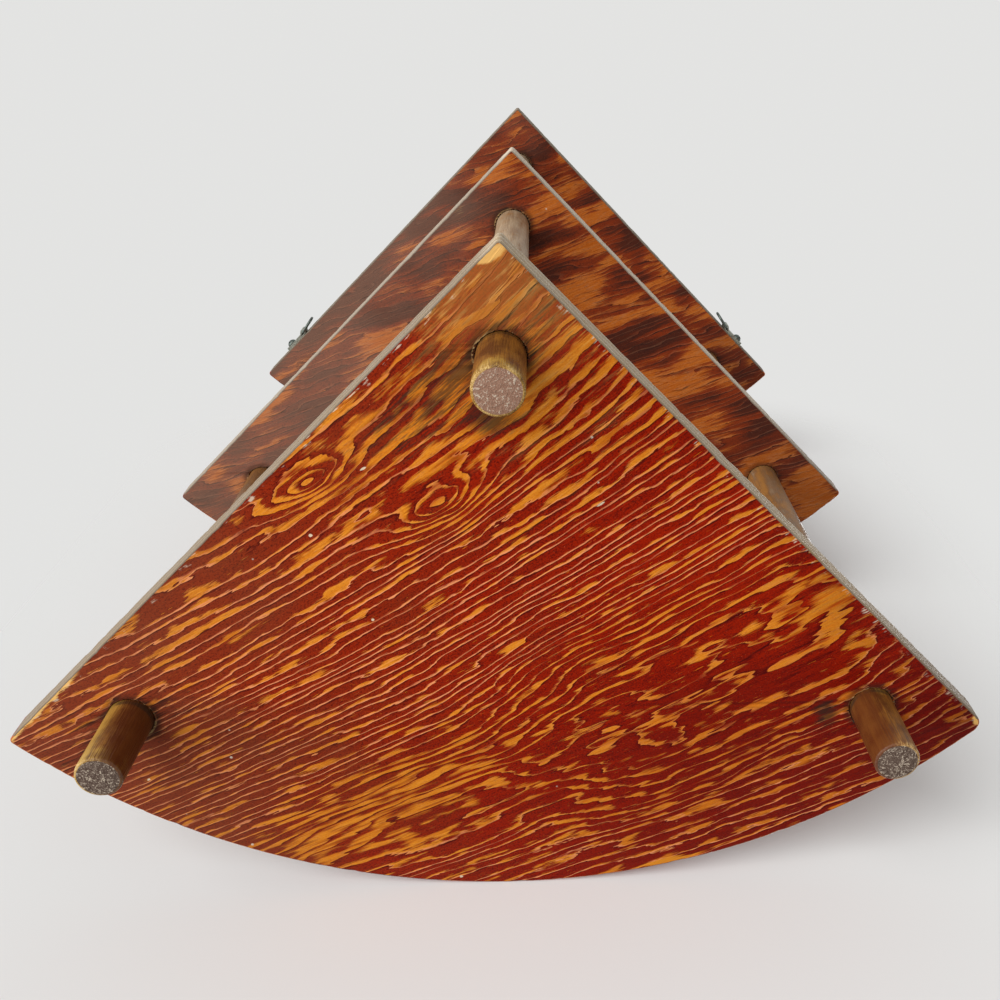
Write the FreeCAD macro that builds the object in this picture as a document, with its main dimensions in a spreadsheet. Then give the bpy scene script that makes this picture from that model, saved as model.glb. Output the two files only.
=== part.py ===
import FreeCAD, Part
import math
import os
import Sketcher

# A three-tier corner shelf, standing upright, in millimetres.
# +Z is up and the feet stand on z = 0. The back corner, where two walls meet, points to +Y and
# the curved fronts face -Y. Left is the left hand of someone in front of the shelf, which is -X.
# Three equal quarter-round boards slide onto three dowels, whose lower ends are the feet.
# A folded strap with a wire D-ring is screwed to each wall edge of the top board.

doc = FreeCAD.newDocument("corner_shelf")
sheet = doc.addObject("Spreadsheet::Sheet", "sizes")

SIZES = (
    ("board_radius", 254.0, "side of a board along the wall, and radius of its curved front"),
    ("board_thickness", 12.7, "half-inch plywood"),
    ("corner_round", 1.5, "blunted back corner, seen from above"),
    ("tip_round", 2.0, "blunted front tips, seen from above"),
    ("arris_chamfer", 0.6, "eased edges of both faces"),
    ("tier_pitch", 206.375, "from one board to the next"),
    ("foot_length", 31.75, "dowel below the bottom board"),
    ("post_diameter", 15.875, "five-eighths dowel"),
    ("post_inset", 25.4, "from a wall edge to the centre of the dowel next to it"),
    ("front_post_setback", 38.1, "from a front tip to the dowel next to it, along the wall edge"),
    ("glue_gap", 0.1, "all round a dowel in its bore"),
    ("foot_chamfer", 0.8, "rubbed rim of a foot"),
    ("left_hanger_setback", 34.0, "from the left tip to the screw next to it, along the wall edge"),
    ("right_hanger_setback", 27.0, "the same on the right, where the hanger sits nearer the tip"),
    ("strap_width", 7.5, "width of the folded strap"),
    ("strap_sheet", 0.9, "sheet that the strap is folded from"),
    ("strap_span", 13.0, "from the screw to the middle of the strap's eye"),
    ("strap_tail", 5.0, "from the screw to the strap's far end"),
    ("strap_tail_round", 2.5, "rounded corners of that end"),
    ("strap_slope", 35.0, "angle, in degrees, at which the upper layer comes down from the eye"),
    ("eye_clearance", 0.1, "all round the ring's wire in the eye"),
    ("ring_wire", 1.8, "wire of the D-ring"),
    ("ring_side_gap", 0.3, "between the strap's side and the start of a bend in the ring"),
    ("ring_bend", 0.4, "inner radius of the two bends beside the strap"),
    ("ring_leg", 4.3, "straight side of the ring, from a bend to the round end"),
    ("ring_rest_angle", 10.0, "angle, in degrees, at which the ring stands out from the wall edge"),
    ("screw_shank", 3.5, "round-head wood screw"),
    ("screw_length", 12.7, "below the head"),
    ("screw_point", 4.0, "tapered end"),
    ("screw_head_diameter", 6.4, "across the head"),
    ("screw_head_height", 2.5, "from the strap to the crown"),
    ("screw_head_rim", 0.4, "straight wall below the dome"),
    ("slot_width", 1.0, "screwdriver slot"),
    ("slot_depth", 1.2, "below the crown"),
    ("strap_hole_clearance", 0.25, "all round the shank in the strap"),
    ("thread_clearance", 0.05, "all round the shank in the board"),
    ("pilot_extra", 1.0, "hole left beyond the screw's point"),
)
for row, (alias, size, meaning) in enumerate(SIZES, start=1):
    sheet.set(f"A{row}", alias)
    sheet.set(f"B{row}", str(size))
    sheet.setAlias(f"B{row}", alias)
    sheet.set(f"C{row}", meaning)
doc.recompute()

UP = FreeCAD.Vector(0, 0, 1)
NEAR_ZERO = 1e-6
ORIGIN = (-1, 1)
ACROSS_AXIS, UPWARD_AXIS = range(-1, -3, -1)
START, END, CENTRE = range(1, 4)

# The back corner of the boards lies where the whole shelf is centred front to back.
CORNER_Y = "(sizes.board_radius + sizes.corner_round * (sqrt(2) - 1)) / 2"
FRONT_POST_REACH = "sizes.board_radius - sizes.front_post_setback"
TOP_BOARD_BASE = "sizes.foot_length + 2 * sizes.tier_pitch"
TOP_BOARD_MIDDLE = f"{TOP_BOARD_BASE} + sizes.board_thickness / 2"
STRAP_THICKNESS = "2 * sizes.strap_sheet"
SCREW_TIP = f"sizes.screw_length - {STRAP_THICKNESS}"
EYE_RADIUS = "sizes.ring_wire / 2 + sizes.eye_clearance"
EYE_OUTSIDE = f"{EYE_RADIUS} + sizes.strap_sheet"
RING_BEND_LINE = "sizes.ring_bend + sizes.ring_wire / 2"
RING_BAR_HALF = "sizes.strap_width / 2 + sizes.ring_side_gap"

# Each dowel's place in the corner frame: along the left wall edge, then along the right one.
POSTS = {
    "corner_post": ("sizes.post_inset", "sizes.post_inset"),
    "left_post": (FRONT_POST_REACH, "sizes.post_inset"),
    "right_post": ("sizes.post_inset", FRONT_POST_REACH),
}

# From the back corner to each hanger's screw, along the wall edge.
HANGER_REACH = {
    "left": "sizes.board_radius - sizes.left_hanger_setback",
    "right": "sizes.board_radius - sizes.right_hanger_setback",
}


def number(expression):
    """The present value of an expression on the sheet."""
    return float(sheet.evalExpression(expression))


def corner_frame(height):
    """A frame at the back corner, X along the left wall edge and Y along the right one."""
    return f"placement(vector(0; {CORNER_Y}; {height}); rotation(vector(0; 0; 1); -135))"


def hanger_frame(side, along, out, turn):
    """A frame on a wall edge of the top board, X towards the back corner and Y out of the edge.

    It lies along from the back corner and out from the edge, and is turned outwards by turn
    degrees. The right hanger is the left one rolled over, so its Z points down.
    """
    sign = "-" if side == "left" else ""
    x = f"{sign}({along} + {out}) / sqrt(2)"
    y = f"{CORNER_Y} + ({out} - ({along})) / sqrt(2)"
    if side == "left":
        spin = f"rotation(vector(0; 0; 1); 45 + {turn})"
    else:
        half = f"(135 - {turn}) / 2"
        spin = f"rotation(vector(cos({half}); sin({half}); 0); 180)"
    return f"placement(vector({x}; {y}; {TOP_BOARD_MIDDLE}); {spin})"


def new_body(label, frame):
    body = doc.addObject("PartDesign::Body", label)
    body.Label = label
    body.setExpression("Placement", frame)
    return body


def sketch_on(body, role, name):
    """A sketch on one of the body's own origin planes."""
    planes = {feature.Role: feature for feature in body.Origin.OriginFeatures}
    sketch = body.newObject("Sketcher::SketchObject", name)
    sketch.AttachmentSupport = [(planes[role], "")]
    sketch.MapMode = "FlatFace"
    return sketch


def line(sketch, start, end):
    return sketch.addGeometry(Part.LineSegment(FreeCAD.Vector(*start), FreeCAD.Vector(*end)))


def arc(sketch, centre, radius, first_degrees, last_degrees):
    circle = Part.Circle(FreeCAD.Vector(*centre), UP, radius)
    first, last = math.radians(first_degrees), math.radians(last_degrees)
    return sketch.addGeometry(Part.ArcOfCircle(circle, first, last))


def rule(sketch, kind, *where):
    sketch.addConstraint(Sketcher.Constraint(kind, *where))


def dimension(sketch, name, size, kind, *where):
    """A named dimension of a sketch, bound to the sheet."""
    present = math.radians(number(size)) if kind == "Angle" else number(size)
    index = sketch.addConstraint(Sketcher.Constraint(kind, *where, present))
    sketch.renameConstraint(index, name)
    sketch.setExpression(f"Constraints.{name}", size)


def round_hole(sketch, name, radius, x=None, y=None):
    """A circle at x and y in the sketch, or at its origin."""
    at_origin = x is None
    centre = (0, 0, 0) if at_origin else (number(x), number(y), 0)
    circle = sketch.addGeometry(Part.Circle(FreeCAD.Vector(*centre), UP, number(radius)))
    dimension(sketch, f"{name}_radius", radius, "Radius", circle)
    if at_origin:
        rule(sketch, "Coincident", circle, CENTRE, *ORIGIN)
    else:
        dimension(sketch, f"{name}_x", x, "DistanceX", *ORIGIN, circle, CENTRE)
        dimension(sketch, f"{name}_y", y, "DistanceY", *ORIGIN, circle, CENTRE)


def pad(body, sketch, name, length, both_ways=False):
    feature = body.newObject("PartDesign::Pad", name)
    feature.Profile = sketch
    feature.SideType = "Symmetric" if both_ways else "One side"
    feature.setExpression("Length", length)
    doc.recompute()


def cut(body, sketch, name, depth=None, along_normal=False, both_ways=False):
    """Cuts a sketch out of the body, right through where no depth is given."""
    before = body.Tip.Shape.Volume
    pocket = body.newObject("PartDesign::Pocket", name)
    pocket.Profile = sketch
    pocket.Reversed = along_normal
    pocket.SideType = "Symmetric" if both_ways else "One side"
    if depth is None:
        pocket.Type = "ThroughAll"
    else:
        pocket.setExpression("Length", depth)
    doc.recompute()
    if not pocket.Shape.Volume < before:
        raise ValueError(f"{name} cuts nothing")


def soften(body, kind, name, size_property, size, chosen):
    """A fillet or chamfer on the edges of the body that pass a test."""
    base = body.Tip
    edges = [f"Edge{n}" for n, edge in enumerate(base.Shape.Edges, start=1) if chosen(edge)]
    feature = body.newObject(kind, name)
    feature.Base = (base, edges)
    feature.setExpression(size_property, size)
    doc.recompute()


def is_upright(edge):
    return abs(edge.tangentAt(edge.FirstParameter).z) > 1 - NEAR_ZERO


def from_corner(edge):
    return math.hypot(edge.CenterOfMass.x, edge.CenterOfMass.y)


def make_board(label, tier):
    """A quarter-round plywood board with a bore for each dowel."""
    body = new_body(label, corner_frame(f"sizes.foot_length + {tier} * sizes.tier_pitch"))
    radius = number("sizes.board_radius")
    outline = sketch_on(body, "XY_Plane", f"{label}_outline")
    left_edge = line(outline, (0, 0), (radius, 0))
    front = arc(outline, (0, 0), radius, 0, 90)
    right_edge = line(outline, (0, radius), (0, 0))
    rule(outline, "Coincident", left_edge, START, *ORIGIN)
    rule(outline, "Coincident", right_edge, END, *ORIGIN)
    rule(outline, "Coincident", front, CENTRE, *ORIGIN)
    rule(outline, "Coincident", left_edge, END, front, START)
    rule(outline, "Coincident", front, END, right_edge, START)
    rule(outline, "PointOnObject", left_edge, END, ACROSS_AXIS)
    rule(outline, "PointOnObject", right_edge, START, UPWARD_AXIS)
    dimension(outline, "front_radius", "sizes.board_radius", "Radius", front)
    pad(body, outline, f"{label}_blank", "sizes.board_thickness")

    fillet = "PartDesign::Fillet"
    soften(body, fillet, f"{label}_tips", "Radius", "sizes.tip_round",
           lambda edge: is_upright(edge) and from_corner(edge) > NEAR_ZERO)
    soften(body, fillet, f"{label}_corner", "Radius", "sizes.corner_round",
           lambda edge: is_upright(edge) and from_corner(edge) < NEAR_ZERO)
    soften(body, "PartDesign::Chamfer", f"{label}_arris", "Size", "sizes.arris_chamfer",
           lambda edge: not is_upright(edge))

    bores = sketch_on(body, "XY_Plane", f"{label}_bores")
    for post, (x, y) in POSTS.items():
        round_hole(bores, post, "sizes.post_diameter / 2 + sizes.glue_gap", x, y)
    cut(body, bores, f"{label}_bored", along_normal=True)
    return body


def drill_for_hanger(body, side, plane):
    """The hole for a hanger's screw, in the middle of a wall edge."""
    pilot = sketch_on(body, plane, f"{side}_pilot")
    round_hole(pilot, "pilot", "sizes.screw_shank / 2 + sizes.thread_clearance",
               HANGER_REACH[side], "sizes.board_thickness / 2")
    cut(body, pilot, f"{side}_pilot_hole", f"{SCREW_TIP} + sizes.pilot_extra",
        along_normal=side == "right")


def make_post(label, x, y):
    """A dowel from the floor, through all the boards, to the top board's upper face."""
    body = new_body(label, corner_frame("0"))
    section = sketch_on(body, "XY_Plane", f"{label}_section")
    round_hole(section, "dowel", "sizes.post_diameter / 2", x, y)
    pad(body, section, f"{label}_dowel", f"{TOP_BOARD_BASE} + sizes.board_thickness")
    soften(body, "PartDesign::Chamfer", f"{label}_foot", "Size", "sizes.foot_chamfer",
           lambda edge: abs(edge.CenterOfMass.z) < NEAR_ZERO)
    return body


def make_strap(side):
    """A sheet strap folded back on itself, with a teardrop eye for the ring's wire."""
    label = f"{side}_hanger_strap"
    body = new_body(label, hanger_frame(side, HANGER_REACH[side], "0", "0"))
    span, tail = number("sizes.strap_span"), number("sizes.strap_tail")
    sheet_metal, inner = number("sizes.strap_sheet"), number(EYE_RADIUS)
    outer, thickness = number(EYE_OUTSIDE), number(STRAP_THICKNESS)
    slope_degrees = number("sizes.strap_slope")
    slope = math.radians(slope_degrees)

    def top_of(radius):
        """Where the sloping layer leaves a circle round the eye."""
        return (span - radius * math.sin(slope), outer + radius * math.cos(slope))

    def foot_of(radius, height):
        """Where the sloping layer, having left that circle, comes down to a height."""
        x, y = top_of(radius)
        return (x - (y - height) / math.tan(slope), height)

    fold = sketch_on(body, "XY_Plane", f"{label}_fold")
    under = line(fold, (-tail, 0), (span, 0))
    loop = arc(fold, (span, outer), outer, -90, 90 + slope_degrees)
    ramp = line(fold, foot_of(outer, thickness), top_of(outer))
    upper = line(fold, foot_of(outer, thickness), (-tail, thickness))
    end = line(fold, (-tail, thickness), (-tail, 0))
    rule(fold, "Tangent", under, END, loop, START)
    rule(fold, "Tangent", loop, END, ramp, END)
    rule(fold, "Coincident", ramp, START, upper, START)
    rule(fold, "Coincident", upper, END, end, START)
    rule(fold, "Coincident", end, END, under, START)
    rule(fold, "PointOnObject", under, START, ACROSS_AXIS)
    rule(fold, "Horizontal", under)
    rule(fold, "Horizontal", upper)
    rule(fold, "Vertical", end)
    dimension(fold, "eye_outside", EYE_OUTSIDE, "Radius", loop)
    dimension(fold, "span", "sizes.strap_span", "DistanceX", *ORIGIN, loop, CENTRE)
    dimension(fold, "tail", "sizes.strap_tail", "DistanceX", under, START, *ORIGIN)
    dimension(fold, "thickness", STRAP_THICKNESS, "DistanceY", *ORIGIN, upper, START)
    dimension(fold, "slope", "sizes.strap_slope", "Angle", ramp)

    bed = line(fold, foot_of(inner, sheet_metal), (span, sheet_metal))
    eye = arc(fold, (span, outer), inner, -90, 90 + slope_degrees)
    roof = line(fold, foot_of(inner, sheet_metal), top_of(inner))
    rule(fold, "Coincident", eye, CENTRE, loop, CENTRE)
    rule(fold, "Tangent", bed, END, eye, START)
    rule(fold, "Tangent", eye, END, roof, END)
    rule(fold, "Coincident", bed, START, roof, START)
    rule(fold, "Horizontal", bed)
    rule(fold, "Parallel", roof, ramp)
    dimension(fold, "eye_inside", EYE_RADIUS, "Radius", eye)
    pad(body, fold, f"{label}_folded", "sizes.strap_width", both_ways=True)

    soften(body, "PartDesign::Fillet", f"{label}_tail", "Radius",
           "min(sizes.strap_tail_round; sizes.strap_width / 2 - sizes.strap_sheet)",
           lambda edge: abs(edge.CenterOfMass.x + tail) < NEAR_ZERO
           and abs(edge.tangentAt(edge.FirstParameter).y) > 1 - NEAR_ZERO)
    hole = sketch_on(body, "XZ_Plane", f"{label}_hole")
    round_hole(hole, "hole", "sizes.screw_shank / 2 + sizes.strap_hole_clearance")
    cut(body, hole, f"{label}_drilled", STRAP_THICKNESS)
    return body


def make_ring(side):
    """A wire D-ring whose straight bar turns in the strap's eye."""
    label = f"{side}_hanger_ring"
    frame = hanger_frame(side, f"{HANGER_REACH[side]} - sizes.strap_span", EYE_OUTSIDE,
                         "sizes.ring_rest_angle")
    body = new_body(label, frame)
    bar_half, bend, leg = number(RING_BAR_HALF), number(RING_BEND_LINE), number("sizes.ring_leg")
    half_width = bar_half + bend

    path = sketch_on(body, "XZ_Plane", f"{label}_path")
    bar = line(path, (0, -bar_half), (0, bar_half))
    upper_bend = arc(path, (bend, bar_half), bend, 90, 180)
    upper_leg = line(path, (bend, half_width), (bend + leg, half_width))
    round_end = arc(path, (bend + leg, 0), half_width, -90, 90)
    lower_leg = line(path, (bend + leg, -half_width), (bend, -half_width))
    lower_bend = arc(path, (bend, -bar_half), bend, 180, 270)
    rule(path, "Tangent", bar, END, upper_bend, END)
    rule(path, "Tangent", upper_bend, START, upper_leg, START)
    rule(path, "Tangent", upper_leg, END, round_end, END)
    rule(path, "Tangent", round_end, START, lower_leg, START)
    rule(path, "Tangent", lower_leg, END, lower_bend, END)
    rule(path, "Tangent", lower_bend, START, bar, START)
    rule(path, "PointOnObject", bar, START, UPWARD_AXIS)
    rule(path, "Vertical", bar)
    rule(path, "Horizontal", upper_leg)
    rule(path, "Horizontal", lower_leg)
    rule(path, "Equal", upper_bend, lower_bend)
    dimension(path, "bar_above", RING_BAR_HALF, "DistanceY", *ORIGIN, bar, END)
    dimension(path, "bar_below", RING_BAR_HALF, "DistanceY", bar, START, *ORIGIN)
    dimension(path, "bend", RING_BEND_LINE, "Radius", upper_bend)
    dimension(path, "leg", "sizes.ring_leg", "DistanceX", upper_leg, START, upper_leg, END)

    section = sketch_on(body, "XY_Plane", f"{label}_section")
    round_hole(section, "wire", "sizes.ring_wire / 2")
    wire = body.newObject("PartDesign::AdditivePipe", f"{label}_wire")
    wire.Profile = section
    wire.Spine = (path, [])
    doc.recompute()
    return body


def make_screw(side):
    """A round-head wood screw, plain below the head, with a slot."""
    label = f"{side}_hanger_screw"
    body = new_body(label, hanger_frame(side, HANGER_REACH[side], "0", "0"))
    seat = number(STRAP_THICKNESS)
    head = number("sizes.screw_head_diameter") / 2
    shank = number("sizes.screw_shank") / 2
    rim = number("sizes.screw_head_rim")
    crown = seat + number("sizes.screw_head_height")
    point = seat - number("sizes.screw_length")
    taper = point + number("sizes.screw_point")
    rise = crown - seat - rim
    dome_radius = (head ** 2 + rise ** 2) / (2 * rise)
    dome_centre = crown - dome_radius
    rim_degrees = math.degrees(math.atan2(seat + rim - dome_centre, head))

    half = sketch_on(body, "XY_Plane", f"{label}_half")
    dome = arc(half, (0, dome_centre), dome_radius, rim_degrees, 90)
    wall = line(half, (head, seat + rim), (head, seat))
    under_head = line(half, (head, seat), (shank, seat))
    side_wall = line(half, (shank, seat), (shank, taper))
    cone = line(half, (shank, taper), (0, point))
    middle = line(half, (0, point), (0, crown))
    rule(half, "Coincident", dome, START, wall, START)
    for first, second in ((wall, under_head), (under_head, side_wall), (side_wall, cone), (cone, middle)):
        rule(half, "Coincident", first, END, second, START)
    rule(half, "Coincident", middle, END, dome, END)
    rule(half, "PointOnObject", dome, CENTRE, UPWARD_AXIS)
    rule(half, "PointOnObject", middle, START, UPWARD_AXIS)
    rule(half, "PointOnObject", middle, END, UPWARD_AXIS)
    rule(half, "Vertical", wall)
    rule(half, "Horizontal", under_head)
    rule(half, "Vertical", side_wall)
    dimension(half, "head", "sizes.screw_head_diameter / 2", "DistanceX", *ORIGIN, wall, END)
    dimension(half, "seat", STRAP_THICKNESS, "DistanceY", *ORIGIN, wall, END)
    dimension(half, "rim", "sizes.screw_head_rim", "DistanceY", wall, END, wall, START)
    dimension(half, "height", "sizes.screw_head_height", "DistanceY", wall, END, middle, END)
    dimension(half, "shank", "sizes.screw_shank / 2", "DistanceX", *ORIGIN, side_wall, START)
    dimension(half, "length", "sizes.screw_length", "DistanceY", middle, START, wall, END)
    dimension(half, "point", "sizes.screw_point", "DistanceY", middle, START, side_wall, END)
    turned = body.newObject("PartDesign::Revolution", f"{label}_turned")
    turned.Profile = half
    turned.ReferenceAxis = (half, ["V_Axis"])
    doc.recompute()

    slot_half = number("sizes.slot_width") / 2
    slot_depth = number("sizes.slot_depth")
    bottom, top = crown - slot_depth, crown + slot_depth
    corners = ((-slot_half, bottom), (slot_half, bottom), (slot_half, top), (-slot_half, top))
    slot = sketch_on(body, "XY_Plane", f"{label}_slot")
    sides = [line(slot, corners[n], corners[(n + 1) % len(corners)]) for n in range(len(corners))]
    for n, edge in enumerate(sides):
        rule(slot, "Coincident", edge, END, sides[(n + 1) % len(sides)], START)
    floor, right_wall, mouth, left_wall = sides
    rule(slot, "Vertical", right_wall)
    rule(slot, "Horizontal", mouth)
    rule(slot, "Vertical", left_wall)
    crown_height = f"{STRAP_THICKNESS} + sizes.screw_head_height"
    rule(slot, "Symmetric", floor, START, floor, END, UPWARD_AXIS)
    dimension(slot, "width", "sizes.slot_width", "DistanceX", floor, START, floor, END)
    dimension(slot, "bottom", f"{crown_height} - sizes.slot_depth", "DistanceY", *ORIGIN, floor, END)
    dimension(slot, "top", f"{crown_height} + sizes.slot_depth", "DistanceY", *ORIGIN, right_wall, END)
    cut(body, slot, f"{label}_slotted", "sizes.screw_head_diameter", both_ways=True)
    return body


pieces = [make_board(label, tier)
          for tier, label in enumerate(("bottom_shelf", "middle_shelf", "top_shelf"))]
top_shelf = pieces[-1]
drill_for_hanger(top_shelf, "left", "XZ_Plane")
drill_for_hanger(top_shelf, "right", "YZ_Plane")
pieces += [make_post(label, x, y) for label, (x, y) in POSTS.items()]
for hand in ("left", "right"):
    pieces += [make_strap(hand), make_ring(hand), make_screw(hand)]
doc.recompute()

for item in doc.Objects:
    if "Invalid" in item.State or "Error" in item.State:
        raise RuntimeError(f"{item.Label} failed: {item.State}")
for piece in pieces:
    shape = piece.Shape
    if shape.isNull() or not shape.isValid() or len(shape.Solids) != 1:
        raise RuntimeError(f"{piece.Label} is not one valid solid")

os.makedirs("parts", exist_ok=True)
for piece in pieces:
    piece.Shape.exportStep(f"parts/{piece.Label}.step")
    print(f"{piece.Label}: {piece.Shape.Volume:.2f} mm3")
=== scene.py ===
"""Dresses the corner shelf: stained plywood boards, varnished dowels, aged hangers and a plain stage."""

import math
from typing import NamedTuple

import bpy
import numpy as np
from bpy.props import FloatProperty, FloatVectorProperty, IntProperty, PointerProperty
from mathutils import Matrix, Vector
from mathutils.geometry import tessellate_polygon


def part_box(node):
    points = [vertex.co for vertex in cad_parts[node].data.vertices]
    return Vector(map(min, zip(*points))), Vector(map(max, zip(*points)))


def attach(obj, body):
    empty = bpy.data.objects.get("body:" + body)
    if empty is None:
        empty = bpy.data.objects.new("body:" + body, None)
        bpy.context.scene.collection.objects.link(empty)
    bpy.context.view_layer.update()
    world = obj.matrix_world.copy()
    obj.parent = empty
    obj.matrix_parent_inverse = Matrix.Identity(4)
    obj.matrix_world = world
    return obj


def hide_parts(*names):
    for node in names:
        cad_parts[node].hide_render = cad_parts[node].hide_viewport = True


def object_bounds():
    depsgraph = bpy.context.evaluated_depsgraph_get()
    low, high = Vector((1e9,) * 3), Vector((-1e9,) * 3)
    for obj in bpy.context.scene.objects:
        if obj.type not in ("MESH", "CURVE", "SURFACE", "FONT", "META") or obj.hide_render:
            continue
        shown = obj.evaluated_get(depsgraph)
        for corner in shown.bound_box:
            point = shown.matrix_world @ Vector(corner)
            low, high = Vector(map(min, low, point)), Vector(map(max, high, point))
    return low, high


bl_info = {
    "name": "Corner Shelf",
    "version": (1, 0, 0),
    "blender": (4, 5, 0),
    "location": "View3D > Sidebar > Corner Shelf",
    "description": "Plywood, dowel and hanger finishes of a three-tier corner shelf",
    "category": "Object",
}

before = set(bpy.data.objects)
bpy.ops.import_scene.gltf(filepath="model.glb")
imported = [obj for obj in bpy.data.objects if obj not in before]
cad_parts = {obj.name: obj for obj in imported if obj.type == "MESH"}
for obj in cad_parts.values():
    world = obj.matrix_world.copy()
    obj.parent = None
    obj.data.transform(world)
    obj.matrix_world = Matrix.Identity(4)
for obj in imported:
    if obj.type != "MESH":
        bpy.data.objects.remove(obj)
CAD_LOW, CAD_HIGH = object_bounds()

MM = 0.001
BOARDS = ("bottom_shelf", "middle_shelf", "top_shelf")
POSTS = ("corner_post", "left_post", "right_post")
SIDES = ("left", "right")
# Side of each foot that takes painted light and painted shade, as a sign, and 0 for none.
LIT_FLANKS = {"corner_post": 0.0, "left_post": -1.0, "right_post": 1.0}
UNDERSIDE, UPPER_SIDE, EDGE = range(3)
HALF_ROOT = math.sqrt(0.5)


class Figure(NamedTuple):
    """An eye or plateau in a veneer's grain, as rings added round a place on the board, in mm."""

    x: float
    y: float
    half_length: float
    half_width: float
    rings: float


class Veneer(NamedTuple):
    """How one face of a board was peeled and stained: lengths in mm, waves in growth rings.

    Crowding is a count of extra rings with its centre and width across the grain. Each slack takes
    rings out in the same way, between two places along the grain. Line is the least width of the
    pale lines, as a share of a ring, and gold makes all of them wider. Figures add rings round an
    eye, stirs tear the lines up, and golden widens the pale lines in places. Years is how many rings
    good and bad years add and take away.
    """

    palette: str
    grain_degrees: float
    seed: float
    spacing: float
    crowding: tuple
    waves: tuple
    line: float
    gold: float = 0.0
    bend: float = 0.0
    years: float = 0.45
    slacks: tuple = ()
    figures: tuple = ()
    stirs: tuple = ()
    golden: tuple = ()


class Shades(NamedTuple):
    """The six colours of a stained veneer, among them its painted sheen and its painted highlight."""

    stain: tuple
    deep: tuple
    sheened: tuple
    gold: tuple
    bright: tuple
    ridge_highlight: tuple


# Names of the colour settings that make up each stain.
PALETTES = {
    "red": Shades("stain", "deep_stain", "sheened_stain", "gold", "bright_gold", "ridge_highlight"),
    "brown": Shades("brown_stain", "deep_brown", "sheened_brown", "brown_gold", "bright_brown", "brown_ridge_highlight"),
}
PLAIN_RED = {"palette": "red", "bend": 0.0012, "waves": (0.7, 0.35, 0.17), "line": 0.11, "years": 0.2}
PLAIN_BROWN = {"palette": "brown", "waves": (1.6, 0.8, 0.25), "line": 0.2}
VENEERS = {
    ("bottom_shelf", UNDERSIDE): Veneer(
        palette="red", grain_degrees=-32, seed=3.1, spacing=7.0, crowding=(11.0, 5, 58),
        waves=(0.4, 0.28, 0.17), line=0.11, gold=0.02, bend=0.0015,
        slacks=((8.4, -68, 42, -112, 16), (4.2, -80, 20, 44, 108)),
        figures=(
            Figure(62, 49, 18, 6.8, 2.9),
            Figure(63, 49, 7, 2.6, 1.1),
            Figure(20, 41, 21, 8.4, 3.3),
            Figure(22, 41, 8, 3, 1.1),
        ),
        stirs=(
            Figure(-54, -42, 60, 38, 1.0),
            Figure(54, -91, 46, 17, 1.0),
            Figure(-108, 2, 26, 16, 0.7),
            Figure(62, 49, 24, 11, 0.4),
            Figure(20, 41, 26, 12, 0.4),
        ),
        golden=(
            Figure(-111, 1, 20, 10, 1.1),
            Figure(54, -91, 50, 17, 0.95),
            Figure(-50, -42, 66, 34, -0.05),
            Figure(-34, 66, 44, 18, 0.32),
            Figure(-10, 0, 70, 20, -0.15),
            Figure(46, 62, 80, 26, 0.4),
            Figure(0, 85, 34, 22, 0.45),
            Figure(-70, 32, 40, 16, 0.2),
            Figure(-70, -78, 50, 14, 0.2),
        ),
    ),
    ("bottom_shelf", UPPER_SIDE): Veneer(
        **PLAIN_RED, grain_degrees=-38, seed=11.7, spacing=7.5, crowding=(7, -10, 46),
        slacks=((6.0, 56, 38, -80, 40),),
        figures=(Figure(-45, 15, 18, 7, 2.2), Figure(-43, 15, 7, 2.6, 0.9)),
        stirs=(Figure(40, 40, 50, 30, 0.7),),
        golden=(Figure(50, 40, 60, 30, 0.3), Figure(-60, -60, 40, 16, 0.3)),
    ),
    ("middle_shelf", UNDERSIDE): Veneer(
        **PLAIN_BROWN, grain_degrees=-21, seed=21.3, spacing=3.4, crowding=(1.5, 0, 60), gold=-0.02),
    ("middle_shelf", UPPER_SIDE): Veneer(
        **PLAIN_RED, grain_degrees=-30, seed=34.9, spacing=7.5, crowding=(7, 12, 46),
        slacks=((6.5, -58, 38, -60, 70),),
        figures=(Figure(58, 30, 17, 6.4, 2.1),),
        stirs=(Figure(-20, -60, 60, 32, 0.7),),
        golden=(Figure(-20, -60, 66, 30, 0.35), Figure(0, 70, 40, 20, 0.25)),
    ),
    ("top_shelf", UNDERSIDE): Veneer(
        **PLAIN_BROWN, grain_degrees=-22, seed=47.2, spacing=3.8, crowding=(1, 0, 60), gold=-0.17),
    ("top_shelf", UPPER_SIDE): Veneer(
        **PLAIN_RED, grain_degrees=-34, seed=58.6, spacing=7, crowding=(7.5, 0, 46),
        slacks=((6.5, -66, 40, -90, 30),),
        figures=(Figure(10, 50, 19, 8, 2.4), Figure(12, 50, 8, 3, 0.9)),
        stirs=(Figure(-40, -46, 60, 34, 0.75),),
        golden=(Figure(-40, -46, 66, 32, 0.35), Figure(70, 0, 50, 16, 0.25)),
    ),
}

# Length along and width across the grain of each layer of waves in mm, and the height of the last one.
WAVE_SIZES = ((110, 42), (36, 13), (12, 4.6), (4.5, 0.9))
RIPPLE = 0.08
# How far a slack fades at its ends, and the step at which the spacing of the years is measured, in mm.
SLACK_FADE = 28
YEAR_STEP = 0.4

# Place, half length and half width of the specks stuck under the bottom board, in mm.
FLECKS = (
    ((45, 54), 1.4, 0.5),
    ((64, 30), 0.7, 0.7),
    ((-32, 41), 1.9, 0.6),
    ((46, -3), 0.6, 0.6),
    ((20, -123), 0.8, 0.8),
    ((133, -71), 0.9, 0.5),
)
# Colour that the wall edges of a board have taken, and how much of it.
EDGE_TONES = {"bottom_shelf": ("worn_edge", 0.25), "middle_shelf": ("grit", 0.8), "top_shelf": ("dirt_and_shade", 0.6)}

# Points round a bore and a blunted corner, steps of the rounded rims, and the angle that stays sharp.
BORE_POINTS = 96
CORNER_POINTS = 8
ARRIS_STEPS = 3
FOOT_STEPS = 4
SHARP_DEGREES = 35
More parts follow.
